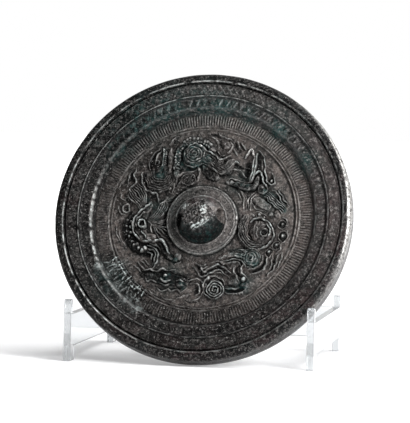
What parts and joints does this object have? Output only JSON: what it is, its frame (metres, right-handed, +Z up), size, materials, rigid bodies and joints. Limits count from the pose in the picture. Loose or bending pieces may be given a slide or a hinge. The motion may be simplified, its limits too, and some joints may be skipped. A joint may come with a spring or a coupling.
{
  "type": "bronze mirror",
  "caption": "Round cast bronze mirror with animal relief, toothed and zigzag bands and a pierced knob, leaning in a clear acrylic stand.",
  "frame": {"origin": "on the surface the part stands on, under the middle of its bounding box", "axes": "+Z up, +X to the viewer's right across the disc, the decorated face looks along -Y and leans back towards +Y"},
  "size_m": [0.125, 0.0914, 0.12],
  "materials": {
    "bronze": "dark worn bronze with green and brown patina",
    "acrylic": "clear polished acrylic sheet"
  },
  "bodies": {
    "root": {"mirror": "bronze", "mirror_knob": "bronze", "stand_side_left": "acrylic", "stand_side_right": "acrylic", "stand_rear_panel": "acrylic", "stand_back_strut": "acrylic"}
  },
  "joints": []
}
